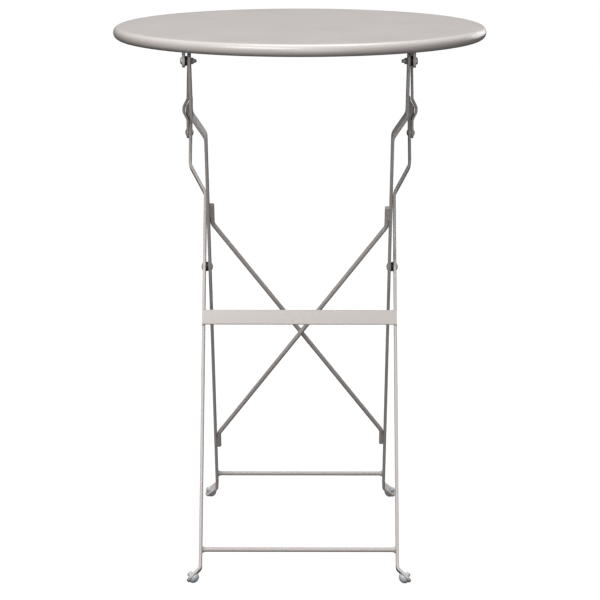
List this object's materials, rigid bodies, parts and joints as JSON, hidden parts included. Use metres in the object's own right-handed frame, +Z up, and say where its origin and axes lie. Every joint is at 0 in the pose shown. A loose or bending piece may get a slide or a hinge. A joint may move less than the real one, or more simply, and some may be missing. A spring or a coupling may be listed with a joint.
{
  "type": "folding bistro table",
  "caption": "Round steel bistro table that folds flat: pressed top with a rolled rim on crossed flat-bar frames with rod braces, folding stays and domed glides.",
  "frame": {"origin": "on the floor, under the middle of the round top", "axes": "+Z up, +X across the table, -Y towards the front, where the inner frame hinges on the top"},
  "size_m": [0.5, 0.4998, 0.71],
  "materials": {
    "top_powder_coat": "smooth satin warm grey powder coat",
    "frame_powder_coat": "satin warm grey powder coat",
    "zinc_hardware": "zinc plated, dulled",
    "spacer_plastic": "matte black moulded plastic",
    "glide_plastic": "cloudy white moulded plastic"
  },
  "bodies": {
    "outer_frame": {"outer_leg_left": "frame_powder_coat", "outer_leg_right": "frame_powder_coat", "outer_crossbar": "frame_powder_coat", "outer_lower_rod": "frame_powder_coat", "outer_glide_left": "glide_plastic", "outer_glide_right": "glide_plastic", "crossing_rivet_left": "frame_powder_coat", "crossing_rivet_right": "frame_powder_coat", "crossing_spacer_left": "spacer_plastic", "crossing_spacer_right": "spacer_plastic", "stay_rivet_left": "frame_powder_coat", "stay_rivet_right": "frame_powder_coat", "stay_washer_left": "zinc_hardware", "stay_washer_right": "zinc_hardware", "detent_block_left": "frame_powder_coat", "detent_block_right": "frame_powder_coat"},
    "inner_frame": {"inner_leg_left": "frame_powder_coat", "inner_leg_right": "frame_powder_coat", "inner_lower_rod": "frame_powder_coat", "brace_rod_front": "frame_powder_coat", "brace_rod_rear": "frame_powder_coat", "inner_glide_left": "glide_plastic", "inner_glide_right": "glide_plastic", "front_screw_shank_left": "zinc_hardware", "front_screw_shank_right": "zinc_hardware", "front_hinge_nut_left": "zinc_hardware", "front_hinge_nut_right": "zinc_hardware", "front_hinge_spacer_left": "spacer_plastic", "front_hinge_spacer_right": "spacer_plastic"},
    "stays": {"stay_left": "frame_powder_coat", "stay_right": "frame_powder_coat"},
    "tabletop": {"tabletop_panel": "top_powder_coat", "top_rail_left": "frame_powder_coat", "top_rail_right": "frame_powder_coat", "front_screw_head_left": "zinc_hardware", "front_screw_head_right": "zinc_hardware", "rear_hinge_screw_left": "zinc_hardware", "rear_hinge_screw_right": "zinc_hardware", "rear_hinge_nut_left": "zinc_hardware", "rear_hinge_nut_right": "zinc_hardware", "rear_hinge_spacer_left": "spacer_plastic", "rear_hinge_spacer_right": "spacer_plastic"}
  },
  "joints": [
    {"name": "leg_fold", "type": "hinge", "parent": "outer_frame", "child": "inner_frame", "pos_m": [0, -0.021, 0.384], "axis": [-1, 0, 0], "range_deg": [0, 53.32]},
    {"name": "stay_swing", "type": "hinge", "parent": "outer_frame", "child": "stays", "pos_m": [0, 0.06957, 0.555], "axis": [-1, 0, 0], "range_deg": [0, 190.83]},
    {"name": "tabletop_hinge", "type": "hinge", "parent": "stays", "child": "tabletop", "pos_m": [0, 0.09478, 0.682], "axis": [1, 0, 0], "range_deg": [0, 78.78]}
  ],
  "couplings": [
    {"joint": "stay_swing", "follows": "leg_fold", "ratio": 3.579},
    {"joint": "tabletop_hinge", "follows": "leg_fold", "ratio": 1.4774}
  ]
}
